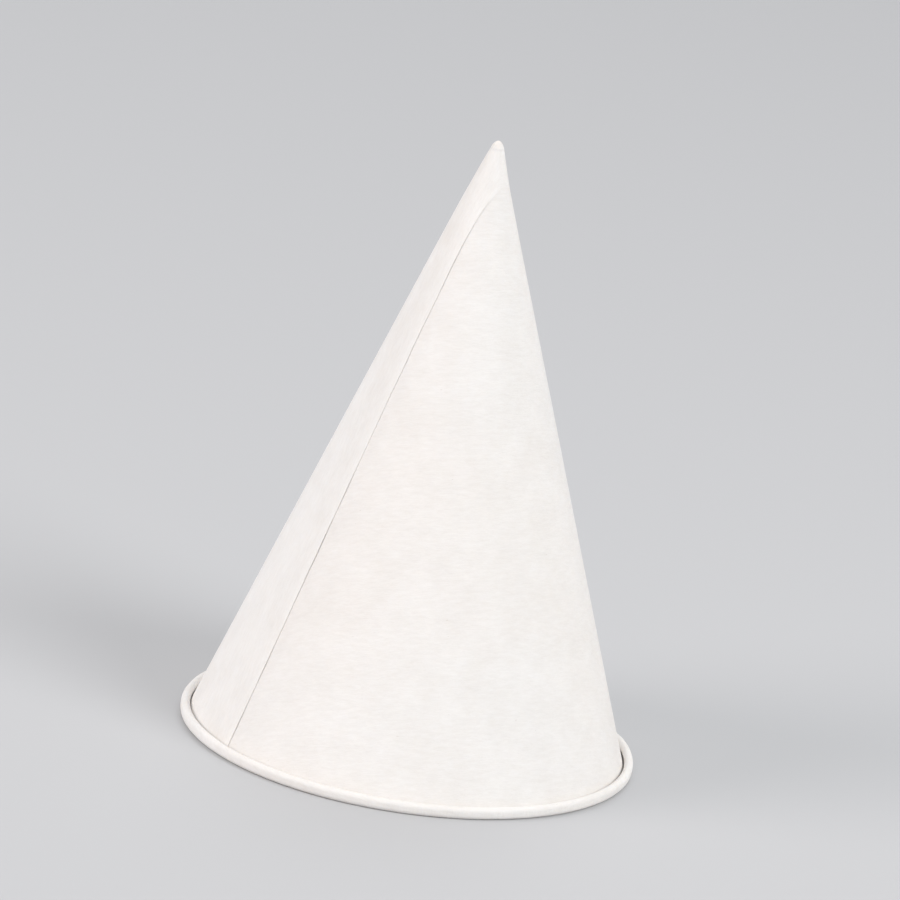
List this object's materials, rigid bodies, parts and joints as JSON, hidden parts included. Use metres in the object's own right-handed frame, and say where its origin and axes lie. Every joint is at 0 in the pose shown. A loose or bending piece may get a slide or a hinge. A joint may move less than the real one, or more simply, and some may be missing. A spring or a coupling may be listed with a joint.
{
  "type": "cone paper cup",
  "caption": "Cone-shaped paper drinking cup wound from a flat sheet, with a glued overlap, a closed tip and a rolled rim, standing mouth down.",
  "frame": {"origin": "centre of the rolled rim's underside, on the cone's axis", "axes": "+Z along the cone's axis towards the tip; the mouth faces -Z; +X passes through the inner edge of the sheet"},
  "size_m": [0.0724, 0.0724, 0.0994],
  "materials": {
    "paper": "matt, lightly waxed white paper"
  },
  "bodies": {
    "root": {"cone_cup": "paper"}
  },
  "joints": []
}
